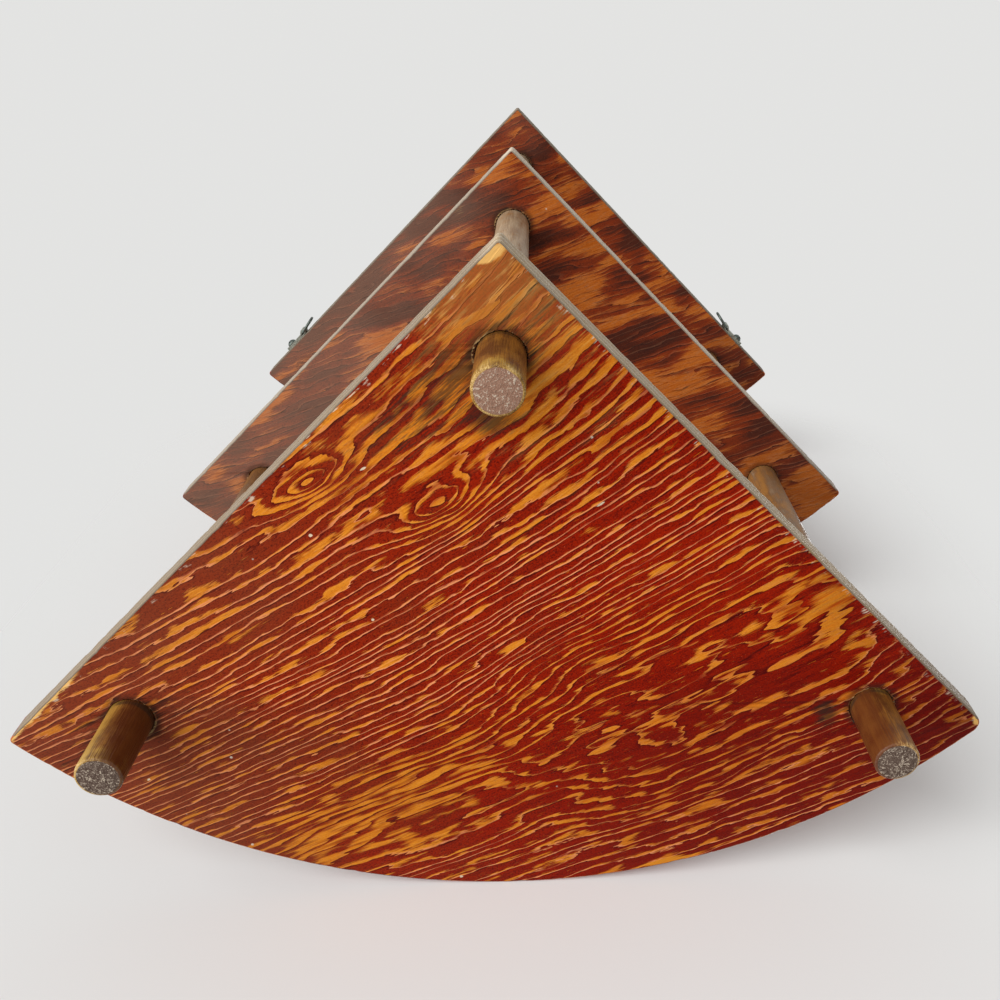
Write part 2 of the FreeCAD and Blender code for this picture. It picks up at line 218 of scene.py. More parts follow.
# Share of the wear that a rim, the flat of a board's edge and the side of a dowel take.
RIM_WEAR, EDGE_WEAR, SIDE_WEAR = 1.0, 0.3, 0.25
BROKEN_LIP = 0.0008
# Height of the relief on edges, dowels and metal, in metres.
EDGE_RELIEF, DOWEL_RELIEF, METAL_RELIEF = 0.00015, 0.00016, 0.00005
# Seeds of the torn bores and of the dents in the dowels, and the step in grain from dowel to dowel.
BORE_SEED, DENT_SEED, GRAIN_STEP = 100, 20.0, 5.3

# Place, spread in degrees and strength of each lamp.
LAMPS = {
    "under_light": ((0.55, 0.85, -0.75), 45, 2.2),
    "side_light": ((0.95, 0.20, -0.35), 35, 2.2),
    "front_light": ((-0.60, -1.10, 1.30), 45, 2.6),
}
FLOOR_REACH, FLOOR_GAP = 2.0, 0.0002
SQUARE = ((-1, -1), (-1, 1), (1, 1), (1, -1))
SENSOR_WIDTH = 36


def colour_setting(name, description, default):
    """A colour that a user may change."""
    return FloatVectorProperty(
        name=name, description=description, default=default, size=3, subtype="COLOR", min=0, max=1)


def length_setting(name, description, default, low):
    """A length that a user may change."""
    return FloatProperty(name=name, description=description, default=default, min=low, unit="LENGTH")


class BoardSettings(bpy.types.PropertyGroup):
    """Shape of the plywood boards."""

    radius: length_setting("Radius", "Side along the wall and radius of the curved front", 0.254, low=0.05)
    corner_round: length_setting("Corner Round", "Blunted back corner, seen from above", 0.0015, low=0.0002)
    tip_round: length_setting("Tip Round", "Blunted front tips, seen from above", 0.002, low=0.0002)
    worn_tip: length_setting(
        "Worn Tip", "Round of the bottom board's left tip, knocked blunt", 0.0045, low=0.0002)
    arris: length_setting("Arris", "Rounded edge of both faces", 0.0006, low=0.0001)
    glue_gap: length_setting("Glue Gap", "Gap all round a dowel in its bore", 0.0001, low=0.0)
    plies: IntProperty(name="Plies", description="Layers of veneer in a board", default=5, min=3)
    ply_groove: length_setting("Ply Groove", "Depth of the groove at each glue line", 0.00012, low=0.0)
    step: length_setting("Step", "Distance between points along the rim", 0.0015, low=0.0005)
    wear: length_setting("Wear", "Depth of the nicks rubbed into the rims", 0.00035, low=0.0)
    nick: length_setting("Nick", "Typical length of a nick", 0.006, low=0.001)
    torn: length_setting("Torn Veneer", "How far the veneer is torn back round a bore", 0.0014, low=0.0)


class PostSettings(bpy.types.PropertyGroup):
    """Shape of the dowels."""

    rim_round: length_setting("Rim Round", "Rubbed rim of a foot", 0.0009, low=0.0001)
    wear: length_setting("Wear", "Depth of dents and flats", 0.0004, low=0.0)
    dent: length_setting("Dent", "Typical length of a dent", 0.009, low=0.001)
    sides: IntProperty(name="Sides", description="Points round a dowel", default=72, min=12)
    step: length_setting("Step", "Distance between rings along a dowel", 0.006, low=0.001)


class FinishSettings(bpy.types.PropertyGroup):
    """Colours of the wood and the metal, and how the grain stands up."""

    stain: colour_setting("Stain", "Red stain soaked into the soft wood", (0.295, 0.011, 0.001))
    deep_stain: colour_setting("Deep Stain", "The same where it lies thick", (0.06, 0.0022, 0.0022))
    # Painted sheen colour of the red faces, laid on towards the left.
    sheened_stain: colour_setting("Faded Stain", "The same where light has browned it", (0.2, 0.028, 0.0065))
    gold: colour_setting("Gold", "Grain that took little stain", (0.54, 0.145, 0.008))
    bright_gold: colour_setting("Bright Gold", "The palest grain", (0.7, 0.255, 0.02))
    # Painted highlight on the raised grain lines, fibres and glints of the red faces.
    ridge_highlight: colour_setting("Ridge", "Raised grain lines rubbed pale", (0.76, 0.27, 0.12))
    # Worn varnish on the bottom board's corner, and the painted sheen of the red faces towards the left.
    worn_and_sheened_stain: colour_setting("Worn Stain", "Stain and varnish handled dull", (0.15, 0.06, 0.033))
    brown_stain: colour_setting("Brown Stain", "Stain of the upper boards", (0.07, 0.017, 0.009))
    deep_brown: colour_setting("Deep Brown", "The same where it lies thick", (0.038, 0.013, 0.0095))
    # Painted sheen colour of the brown faces, laid on towards the left.
    sheened_brown: colour_setting("Faded Brown", "The same where light has bleached it", (0.13, 0.05, 0.03))
    brown_gold: colour_setting("Brown Gold", "Pale grain of the upper boards", (0.35, 0.079, 0.007))
    bright_brown: colour_setting(
        "Bright Brown", "The palest grain of the upper boards", (0.45, 0.135, 0.023))
    # Painted highlight on the raised grain lines and fibres of the brown faces.
    brown_ridge_highlight: colour_setting("Brown Ridge", "Raised grain of the upper boards", (0.45, 0.22, 0.12))
    rust_stain: colour_setting(
        "Rust Stain", "Stain of the upper boards between dark and pale grain", (0.22, 0.031, 0.007))
    # Painted sheen of the brown faces towards the left.
    milky_sheen: colour_setting("Bloom", "Varnish of the upper boards gone milky", (0.5, 0.34, 0.25))
    bare_wood: colour_setting("Bare Wood", "Wood laid bare by chips", (0.64, 0.44, 0.19))
    chipped: colour_setting("Chipped", "Fresh wood under a chipped veneer", (0.74, 0.43, 0.13))
    fleck: colour_setting("Fleck", "Specks and splinters stuck to the bottom board", (0.66, 0.54, 0.38))
    grey_wood: colour_setting("Grey Wood", "Worn wall edges", (0.52, 0.47, 0.4))
    worn_edge: colour_setting("Worn Edge", "Soiled wall edges towards the tips", (0.11, 0.075, 0.048))
    # Real grime, and also the painted shade round the dowels and at the feet's roots.
    dirt_and_shade: colour_setting("Dirt", "Grime in hollows and round the dowels", (0.024, 0.014, 0.009))
    amber: colour_setting("Amber", "Varnish on the feet", (0.27, 0.11, 0.015))
    # Also the painted shade on the right dowel between the boards.
    dark_amber: colour_setting("Dark Amber", "The same where it has run thick", (0.085, 0.03, 0.008))
    # Also the painted highlight on the lit flank of the right foot.
    honey: colour_setting("Honey", "Varnish rubbed thin on the feet", (0.4, 0.235, 0.042))
    # Painted shade with a painted red reflection of the boards on one flank of a foot.
    red_shaded_flank: colour_setting(
        "Red Flank", "Side of a foot that took the boards' stain", (0.08, 0.018, 0.0045))
    pale_dowel: colour_setting("Pale Dowel", "Dowel between the boards", (0.42, 0.305, 0.19))
    dim_dowel: colour_setting("Dim Dowel", "Darker grain of the same", (0.27, 0.185, 0.115))
    blush_end: colour_setting("Blush End", "Sawn end that stain has coloured", (0.36, 0.19, 0.125))
    crumb: colour_setting("Crumb", "Pale crumbs that lie on the boards", (0.6, 0.52, 0.42))
    grit: colour_setting("Grit", "Pale grit and torn fibres in the sawn ends", (0.62, 0.52, 0.4))
    sawn_end: colour_setting("Sawn End", "End grain of the feet", (0.16, 0.12, 0.095))
    zinc: colour_setting("Zinc", "Dull plated straps", (0.36, 0.37, 0.31))
    dark_steel: colour_setting("Dark Steel", "Rings and screws", (0.11, 0.13, 0.115))
    rust: colour_setting("Rust", "Spots on the metal", (0.14, 0.055, 0.022))
    relief: length_setting("Relief", "Height of the raised grain", 0.00022, low=0.0)


class StageSettings(bpy.types.PropertyGroup):
    """Floor, light and camera."""

    floor: colour_setting("Floor", "Pale floor and ground", (0.755, 0.755, 0.745))
    fade: FloatVectorProperty(
        name="Fade", description="Distances at which the floor starts and ends fading into the air",
        default=(0.01, 0.16), size=2, unit="LENGTH")
    air: colour_setting("Air", "Pale background", (0.77, 0.77, 0.76))
    daylight: FloatProperty(
        name="Daylight", description="Even light from all round", default=0.42, min=0.0)
    camera_place: FloatVectorProperty(
        name="Camera Place", description="Where the camera stands",
        default=(-0.0105, 0.1900, -0.2795), size=3, subtype="XYZ", unit="LENGTH")
    camera_aim: FloatVectorProperty(
        name="Camera Aim", description="Point on the bottom board that the lens axis meets",
        default=(-0.0303, 0.0364, 0.0318), size=3, subtype="XYZ", unit="LENGTH")
    camera_roll: FloatProperty(
        name="Camera Roll", description="Turn about the lens axis",
        default=math.radians(-1.27), subtype="ANGLE")
    lens: FloatProperty(
        name="Lens", description="Focal length in millimetres on a 36 mm sensor", default=37.57, min=10)
    shift: FloatVectorProperty(
        name="Shift", description="How far the frame sits off the lens axis, as a share of its width",
        default=(-0.0956, 0.0162), size=2)


class Field:
    """An output of a node. Arithmetic on one that carries a number adds Math nodes."""

    def __init__(self, tree, socket):
        self.tree = tree
        self.socket = socket

    def math(self, operation, *others):
        return self.tree.maths(operation, self, *others)

    def __add__(self, other):
        return self.math("ADD", other)

    __radd__ = __add__

    def __sub__(self, other):
        return self.math("SUBTRACT", other)

    def __rsub__(self, other):
        return self.tree.maths("SUBTRACT", other, self)

    def __mul__(self, other):
        return self.math("MULTIPLY", other)

    __rmul__ = __mul__

    def __truediv__(self, other):
        return self.math("DIVIDE", other)

    def __rtruediv__(self, other):
        return self.tree.maths("DIVIDE", other, self)

    def __pow__(self, power):
        return self.math("POWER", power)

    def between(self, low, high):
        """0 below low, 1 above high, smooth in between."""
        return self.tree.node(
            "ShaderNodeMapRange", {"interpolation_type": "SMOOTHSTEP"},
            {"Value": self, "From Min": low, "From Max": high}, "Result")


class Tree:
    """Builds the nodes of a material, a world or a geometry group."""

    def __init__(self, node_tree):
        self.made = node_tree
        self.made.nodes.clear()

    def node(self, kind, settings=None, sockets=None, output=0):
        """Adds a node: its settings first, then the values or links of its sockets."""
        node = self.made.nodes.new(kind)
        for name, value in (settings or {}).items():
            setattr(node, name, value)
        for key, value in (sockets or {}).items():
            target = self.pick(node.inputs, key)
            if isinstance(value, Field):
                self.made.links.new(value.socket, target)
            elif value is not None:
                target.default_value = value
        return Field(self, self.pick(node.outputs, output)) if len(node.outputs) else node

    @staticmethod
    def pick(sockets, key):
        if isinstance(key, int):
            return sockets[key]
        return next(s for s in sockets if key in (s.identifier, s.name) and s.enabled)

    def maths(self, operation, *values):
        return self.node("ShaderNodeMath", {"operation": operation}, dict(enumerate(values)), "Value")

    def vector(self, x, y, z):
        return self.node("ShaderNodeCombineXYZ", {}, {"X": x, "Y": y, "Z": z}, "Vector")

    def noise(self, x, y, z, detail=2.0, roughness=0.5):
        """Noise from about -1 to 1, with features about as large as one unit of x, y and z."""
        made = self.node(
            "ShaderNodeTexNoise", {"noise_dimensions": "3D"},
            {"Vector": self.vector(x, y, z), "Scale": 1.0, "Detail": detail, "Roughness": roughness}, 0)
        return made * 4 - 2

    def mix(self, factor, first, second):
        """Colours from first, at factor 0, to second, at factor 1."""
        return self.node(
            "ShaderNodeMix", {"data_type": "RGBA"},
            {"Factor_Float": factor, "A_Color": opaque(first), "B_Color": opaque(second)}, "Result_Color")

    def coat(self, ground, *coats):
        """Lays colours over a ground one after the other, each by its mask."""
        for colour, mask in coats:
            ground = self.mix(mask, ground, colour)
        return ground


class Finish(Tree):
    """A surface material on object coordinates."""

    def __init__(self, name):
        self.material = bpy.data.materials.new(name)
        self.material.use_nodes = True
        super().__init__(self.material.node_tree)

    def place(self):
        """X, Y and Z on the object, in millimetres."""
        spot = self.node("ShaderNodeTexCoord", {}, {}, "Object")
        axes = [self.node("ShaderNodeSeparateXYZ", {}, {"Vector": spot}, axis) for axis in "XYZ"]
        return [axis / MM for axis in axes]

    def lay(self, colour, roughness, height, relief, **others):
        """Feeds the surface, with relief as the rise of a height of 1. Others bear their sockets' names."""
        bump = self.node(
            "ShaderNodeBump", {}, {"Strength": 1.0, "Distance": relief, "Height": height}, "Normal")
        sockets = {"Base Color": colour, "Roughness": roughness, "Normal": bump}
        sockets.update({name.replace("_", " "): value for name, value in others.items()})
        surface = self.node("ShaderNodeBsdfPrincipled", {}, sockets, "BSDF")
        self.node("ShaderNodeOutputMaterial", {}, {"Surface": surface})
        return self.material


class Face(Finish):
    """A face of a board, with the places, noises and colours that its grain and its wear share."""

    def __init__(self, name, veneer):
        super().__init__(name)
        self.veneer = veneer
        self.colours = settings("finish")
        self.brown = veneer.palette == "brown"
        self.shades = Shades(*(getattr(self.colours, shade) for shade in PALETTES[veneer.palette]))
        self.x, self.y, self.z = self.place()
        self.along, across = turned(self.x, self.y, veneer.grain_degrees)
        self.across = across - self.y ** 2 * veneer.bend
        self.fibre = self.drawn(6, 0.5, 0)
        self.streak = self.drawn(26, 2.2, 3)
        self.patch = self.drawn(13, 4.0, 11, detail=1.0)
        self.pore = self.drawn(3.6, 0.33, 19)
        self.speck = self.drawn(1.1, 0.6, 23, roughness=0.7)
        self.cloud = self.dappled(46, 5, detail=2.0)
        self.mottle = self.dappled(0.6, 9)
        self.glint = self.dappled(0.38, 29)
        self.stir = self.figure_sum(veneer.stirs)
        self.calm = 1 - self.stir.between(0.1, 0.7) * 0.8
        # Dry marks the left and middle of the face; the rest, low down, takes painted shade towards the
        # right tip.
        self.dry = (self.x + self.cloud * 30).between(-95, 10)
        self.shade_toward_right_tip = (1 - self.dry) * (1 - (self.y + self.cloud * 20).between(-45, 5))

    def drawn(self, length, width, seed, detail=2.0, roughness=0.5, shift=0.0):
        """Noise drawn out along the grain, with the length and width of its marks in mm."""
        across = self.across + shift if shift else self.across
        return self.noise(self.along / length, across / width, self.veneer.seed + seed, detail, roughness)

    def dappled(self, size, seed, detail=1.0):
        """Noise alike in all directions, with the size of its marks in mm."""
        return self.noise(self.x / size, self.y / size, self.veneer.seed + seed, detail)

    def figure_sum(self, figures):
        """Sum of oval spots that lie along the grain."""
        total = self.x * 0
        for figure in figures:
            total = total + figure.rings * spot_mask(
                self.x, self.y, (figure.x, figure.y), figure.half_length, figure.half_width,
                self.veneer.grain_degrees)
        return total

    def uneven_years(self, shift=0.0):
        """Rings that good and bad years add and take away, fewer where the grain is stirred up."""
        return self.drawn(95, 6.5, 28, detail=1.0, shift=shift) * self.veneer.years * self.calm

    def growth_rings(self):
        """Ring count over the veneer, whose whole numbers are the sharp ends of the grain lines."""
        veneer = self.veneer
        count, centre, width = veneer.crowding
        rings = self.across / veneer.spacing + ((self.across - centre) / width).math("TANH") * count
        for count, centre, width, first, last in veneer.slacks:
            begun = self.along.between(first - SLACK_FADE, first + SLACK_FADE)
            ended = self.along.between(last - SLACK_FADE, last + SLACK_FADE)
            off = (self.across - centre) / width
            rings = rings - off * (off ** 2 * -1).math("EXPONENT") * (begun * (1 - ended)) * count
        for layer, ((length, width), height) in enumerate(zip(WAVE_SIZES, (*veneer.waves, RIPPLE))):
            rings = rings + self.drawn(length, width, 7 * layer, detail=1.0) * height * self.calm
        if veneer.stirs:
            broad, torn = self.drawn(34, 17, 31, detail=1.0), self.drawn(17, 2.6, 37, detail=1.0)
            rings = rings + (broad * 1.3 + torn * 0.36) * self.stir
        return rings + self.uneven_years() + self.figure_sum(veneer.figures)

    def closeness(self):
        """Rings to the millimetre, leaving waves and figures out."""
        count, centre, width = self.veneer.crowding
        crowd = ((self.across - centre) / width).math("TANH")
        years = (self.uneven_years(YEAR_STEP) - self.uneven_years(-YEAR_STEP)) / (2 * YEAR_STEP)
        close = 1 / self.veneer.spacing + (1 - crowd ** 2) * (count / width) + years
        return close.math("MAXIMUM", 0.1)


def opaque(colour):
    """A colour as a socket takes it."""
    return colour if isinstance(colour, Field) else (*tuple(colour)[:3], 1.0)


def settings(group):
    return getattr(bpy.context.scene, f"corner_shelf_{group}")


def turned(x, y, degrees):
    """Coordinates along and across a direction."""
    c, s = math.cos(math.radians(degrees)), math.sin(math.radians(degrees))
    return x * c + y * s, y * c - x * s


def spot_mask(x, y, centre, half_length, half_width, degrees=0.0):
    """1 in the middle of an oval spot in mm, falling off smoothly."""
    along, across = turned(x - centre[0], y - centre[1], degrees)
    away = (along / half_length) ** 2 + (across / half_width) ** 2
    return (away * -1).math("EXPONENT")


def grain_lines(face):
    """The growth rings' own fractions, and masks of pale bands, painted highlights on the raised ridges and
    painted shadow in the grooves.
    """
    veneer, fibre, streak, patch = face.veneer, face.fibre, face.streak, face.patch
    closeness = face.closeness()
    ring = face.growth_rings().math("FRACT")
    past, ahead = ring / closeness, (1 - ring) / closeness
    want = patch * 0.7 + streak * 0.15 + face.figure_sum(veneer.golden) + veneer.gold
    width = want.between(-0.3, 1.0) * 0.62 + fibre * 0.13 + face.pore * 0.09 + veneer.line
    sharp = past.between(0.0, 0.15)
    broken = (streak * 0.6 + patch * 0.5 + 0.78).between(0.0, 1.0)
    band = (1 - ring.between(width * 0.6, width * 1.25)) * sharp * broken
    thin = (streak * 0.5 + patch * 0.3 + 0.9).between(0.0, 1.0)
    thin = thin * (1 - want.between(0.2, 0.7)) * (1 - face.y.between(15, 75) * 0.5)
    # Painted highlight along the raised ridge of each grain line.
    wear_and_highlight = (1 - (past + fibre * 0.12).between(0.3, 0.75)) * sharp * thin
    if veneer.stirs:
        wear_and_highlight = wear_and_highlight * (1 - face.stir.between(0.05, 0.4) * 0.85)
    # Painted shadow in the groove beside each grain line.
    groove = 1 - ahead.between(0.12, 0.75)
    return ring, band, wear_and_highlight, groove


def blotch_level(face, ring):
    """How pale the brown stain of the upper boards lies, in large shapes."""
    large = face.drawn(38, 14, 13, detail=1.0)
    small = face.drawn(17, 3.2, 15)
    level = large * 0.95 + small * 0.28 + face.fibre * 0.14 + face.pore * 0.08
    level = level + (0.5 - ring) * 0.35 + face.veneer.gold
    return level + 0.12 - (face.x + face.cloud * 15).between(-50, 70) * 0.26


def stained_ground(face, groove, level):
    """The stain alone: thick and thin, with a painted sheen towards the left, and painted shade in the
    grooves and towards the right tip.
    """
    shades, streak, mottle = face.shades, face.streak, face.mottle
    thick = (streak * 0.3 + face.cloud * 0.25 + mottle * 0.4 + face.pore * 0.35).between(-0.5, 1.2)
    wood = face.mix(thick, shades.stain, shades.deep)
    if face.brown:
        wood = face.mix(level.between(-0.6, 0.0) * 0.8, wood, face.colours.rust_stain)
    # Painted sheen: the stain turns browner and milky towards the left.
    left_sheen_tint = (face.x + face.cloud * 40).between(-40, 130)
    uneven = (face.fibre * 0.4 + streak * 0.35 + 0.45).between(0.05, 0.85)
    dotted = (face.speck * 0.8 + mottle * 0.4).between(-0.1, 0.8)
    return face.coat(
        wood,
        (shades.sheened, left_sheen_tint * (0.4 if face.brown else 0.8)),
        # Painted shadow in the grooves.
        (shades.deep, groove * uneven),
        # Painted shade towards the right tip.
        (shades.deep, face.shade_toward_right_tip * 0.45),
        (shades.deep, dotted * (face.dry * 0.4 + 0.35)),
    )


def pale_grain(face, wood, band, wear_and_highlight, groove):
    """Lays the golden bands over the stain, with painted highlights on the raised fibres and the ridges, and
    painted shade in the grooves and towards the right tip.
    """
    shades, fibre, streak = face.shades, face.fibre, face.streak
    golden = (fibre * 0.4 + streak * 0.3 + face.mottle * 0.25).between(-0.6, 0.7)
    # The pale grain dims into the painted shade towards the right tip.
    light = face.coat(shades.gold, (shades.bright, golden), (shades.stain, face.shade_toward_right_tip * 0.3))
    # Painted highlight on the raised fibres of the pale bands.
    fibre_highlight = (fibre * 0.7 + face.pore * 0.6).between(0.1, 1.1)
    wood = face.coat(wood, (light, band), (shades.ridge_highlight, fibre_highlight * band * 0.45))
    if face.brown:
        # Painted shadow in the grooves of the brown faces.
        wood = face.mix(groove * (streak * 0.5 + 0.3).between(0.0, 0.8) * 0.55, wood, shades.deep)
    # Painted highlight along the ridges.
    return face.mix(wear_and_highlight * 0.85, wood, shades.ridge_highlight)


def pores_glints_and_sheen(face, wood):
    """Adds dark pores, painted glints and a painted sheen towards the left."""
    dark = (face.pore * 0.7 + face.fibre * 0.3 + face.speck * 0.3).between(0.1, 0.9)
    # Painted sheen: the varnish shows milky towards the left.
    if face.brown:
        dull_and_sheen = (face.colours.milky_sheen, (face.x + face.cloud * 30).between(-20, 90) * 0.17)
    else:
        dull_and_sheen = (face.colours.worn_and_sheened_stain, (face.x + face.cloud * 40).between(40, 170) * 0.3)
    # Painted glints on the grain.
    glints = face.glint.between(0.8, 1.3) * 0.45
    return face.coat(wood, (face.shades.deep, dark * 0.5), (face.shades.ridge_highlight, glints), dull_and_sheen)


def plywood_face(name, veneer, spots):
    """Stained and varnished rotary-cut veneer with raised grain, rubbed and dirty in places, and with
    painted highlights, sheen and shade.
    """
    face = Face(name, veneer)
    ring, band, wear_and_highlight, groove = grain_lines(face)
    level = None
    if face.brown:
        level = blotch_level(face, ring)
        band = level.between(0.02, 0.5)
        wear_and_highlight = wear_and_highlight * 0.15
    wood = stained_ground(face, groove, level)
    wood = pores_glints_and_sheen(face, pale_grain(face, wood, band, wear_and_highlight, groove))
    cells = face.node(
        "ShaderNodeTexVoronoi", {"feature": "F1"},
        {"Vector": face.vector(face.x, face.y, face.z), "Scale": 0.05, "Randomness": 1.0}, "Distance")
    crumbs = (1 - cells.between(0.018, 0.034)) * 0.8
    wood = face.coat(wood, *spots(face), *bore_spots(face), (face.colours.crumb, crumbs))
    height = band * 0.6 + wear_and_highlight * 0.3 - groove * 0.3 + face.fibre * 0.1
    roughness = 0.34 + band * 0.08 + face.fibre * 0.03 + face.cloud * 0.03
    return face.lay(wood, roughness, height, face.colours.relief, Specular_IOR_Level=0.035)


def bore_gap(x, y):
    """Distance in mm from the side of the nearest dowel."""
    gaps = []
    for post in POSTS:
        centre, radius = post_centre(post) / MM, post_radius(post) / MM
        gaps.append(((x - centre.x) ** 2 + (y - centre.y) ** 2) ** 0.5 - radius)
    return gaps[0].math("MINIMUM", gaps[1]).math("MINIMUM", gaps[2])


def bore_spots(face):
    """Grime and painted shade round the dowels, and a pale lip where the veneer broke at the bores."""
    gap = bore_gap(face.x, face.y)
    # A ring of painted shade and grime round each dowel.
    grime_and_shade = 1 - gap.between(0.4, 5.5)
    lip = 1 - (gap + face.fibre * 0.5).between(0.8, 2.0)
    return [
        (face.colours.dirt_and_shade, (grime_and_shade + face.fibre * 0.25 + face.cloud * 0.3).between(0.25, 1.1) * 0.65),
        (face.colours.bare_wood, (lip + face.fibre * 0.4 + face.cloud * 0.8).between(0.9, 1.4) * 0.45),
    ]


def plain_spots(face):
    """Grime in streaks, on a face that shows little else."""
    return [(face.colours.dirt_and_shade, (face.fibre * 0.4 + face.streak * 0.8).between(0.55, 1.1) * 0.5)]


def bottom_spots(face):
    """Wear and grime under the bottom board, with painted shade towards the right tip and painted shadow by
    the feet.
    """
    colours, x, y, fibre, streak = face.colours, face.x, face.y, face.fibre, face.streak
    corner = spot_mask(x, y, (0, 118), 34, 44)
    wear_and_highlight = (corner * 1.3 + fibre * 0.25 + streak * 0.35).between(0.45, 1.25)
    # Dark patches below the corner foot and by the right foot: grime and painted shadow.
    grime_and_shade = spot_mask(x, y, (4, 72), 12, 9) + spot_mask(x, y, (-118, -46), 6, 8)
    # Painted shade towards the right tip.
    right_tip_shade = (x * -1 + y * 0.5 + fibre * 12 + streak * 18).between(88, 165)
    soot = spot_mask(x, y, (14, 84), 52, 17, -36) + spot_mask(x, y, (140, -48), 34, 14, -32)
    wall = (corner_y() / MM - y - x.math("ABSOLUTE")) * HALF_ROOT
    crumb = face.noise(x / 4, y / 4, 61.0, 3.0)
    rim = 1 - (wall + crumb * 1.6).between(0.6, 2.4)
    bare = spot_mask(x, y, (2.6, 122.8), 6.5, 2.4, -32) + spot_mask(x, y, (-177, -50), 3, 3)
    tip = x.between(148, 153) * (1 - (wall + fibre * 0.5 + crumb * 0.5).between(0.9, 1.8))
    chip = spot_mask(x, y, (-62, -117.5), 15, 2.6, -13)
    flecks = x * 0
    for place, half_length, half_width in FLECKS:
        flecks = flecks + spot_mask(x, y, place, half_length, half_width, face.veneer.grain_degrees)
    return [
        (colours.bright_gold, wear_and_highlight * 0.35),
        (colours.worn_and_sheened_stain, corner.between(0.2, 1.0) * 0.4),
        (colours.chipped, corner * (streak * 0.9 + fibre * 0.4).between(0.1, 1.0) * 0.55),
        (colours.deep_brown, corner * (fibre * 0.5 - streak * 0.9).between(0.3, 1.1) * 0.5),
        (colours.deep_brown, (soot * 0.9 + fibre * 0.35 + streak * 0.45).between(0.55, 1.1) * 0.8),
        (colours.deep_stain, right_tip_shade * 0.6),
        (colours.dirt_and_shade, (grime_and_shade + fibre * 0.2 + streak * 0.2).between(0.3, 1.0) * 0.85),
        (colours.dirt_and_shade, rim * (crumb + streak * 0.6).between(-0.1, 0.7) * 0.7),
        (colours.grit, rim * (fibre * 0.7 - crumb * 0.7).between(0.35, 0.8) * 0.7),
        (colours.chipped, (bare + crumb * 0.2 + streak * 0.2).between(0.4, 0.65) * 0.85),
        (colours.chipped, tip * 0.9),
        (colours.bright_gold, (chip + fibre * 0.25 + streak * 0.3).between(0.45, 0.8) * 0.85),
        (colours.fleck, (flecks + crumb * 0.25 + fibre * 0.2).between(0.4, 0.65) * 0.9),
    ]


def plywood_edge(name, base, thickness, tone, share):
    """Ply layers: worn along the walls to a share of a tone, stained along the curved front, with painted
    shade on the left wall edge.
    """
    colours, board = settings("finish"), settings("boards")
    finish = Finish(name)
    x, y, z = finish.place()
    radius = board.radius / MM
    reach = (x ** 2 + (y - corner_y() / MM) ** 2) ** 0.5
    front = reach.between(radius - 5, radius - 1.5)
    rise = z - base / MM
    layer = rise * (board.plies * MM / thickness)
    cross = (layer * math.pi).math("SINE").between(0.1, -0.1)
    glue = 1 - ((layer + 0.5).math("FRACT") - 0.5).math("ABSOLUTE").between(0.03, 0.07)
    run = (x + y) * HALF_ROOT
    streak = finish.noise(x / 9, y / 9, z / 0.35, 3.0)
    pores = finish.noise(x / 0.45, y / 0.45, z / 0.6)
    cloud = finish.noise(run / 21, z / 9, base * 40)
    soiled = reach.between(radius * 0.6, radius * 0.95) * 0.6
    bare = finish.coat(
        colours.grey_wood,
        (colours.bare_wood, (streak * 0.5 + pores * 0.35).between(-0.6, 0.7)),
        (colours.amber, cross * 0.35),
        (getattr(colours, tone), (streak * 0.2 + pores * 0.2 + share).between(0.0, 1.0)),
        # Soil towards the tips, and painted shade along the left wall edge.
        (colours.worn_edge, soiled.math("MAXIMUM", (x + streak * 3).between(1, 9) * 0.55)),
    )
    stained = finish.coat(
        colours.deep_stain,
        (colours.stain, (streak * 0.6 + pores * 0.4).between(-0.6, 0.6)),
        (colours.deep_stain, cross * 0.5),
    )
    kept = (front * 1.1 + cloud * 0.45 + streak * 0.25).between(0.45, 0.95)
    near = rise.math("MINIMUM", thickness / MM - rise)
    arris = 1 - (near + streak * 0.4 + pores * 0.25).between(0.2, 1.0)
    torn = finish.mix((pores * 0.5 + streak * 0.4).between(-0.3, 0.8), colours.dirt_and_shade, colours.brown_gold)
    wood = finish.coat(
        bare,
        (stained, kept),
        (colours.dirt_and_shade, glue * 0.45),
        (colours.gold, arris * kept * (cloud + streak * 0.4).between(-0.4, 0.5) * 0.6),
        (colours.worn_edge, arris * (1 - kept) * 0.5),
        (colours.dirt_and_shade, (cloud * 0.6 + pores * 0.5).between(0.5, 1.0) * 0.5),
        (torn, 1 - bore_gap(x, y).between(2.5, 4.0)),
    )
    height = streak * 0.3 + pores * (0.2 + cross * 0.4)
    return finish.lay(wood, 0.62 - kept * 0.16, height, EDGE_RELIEF, Specular_IOR_Level=0.35)


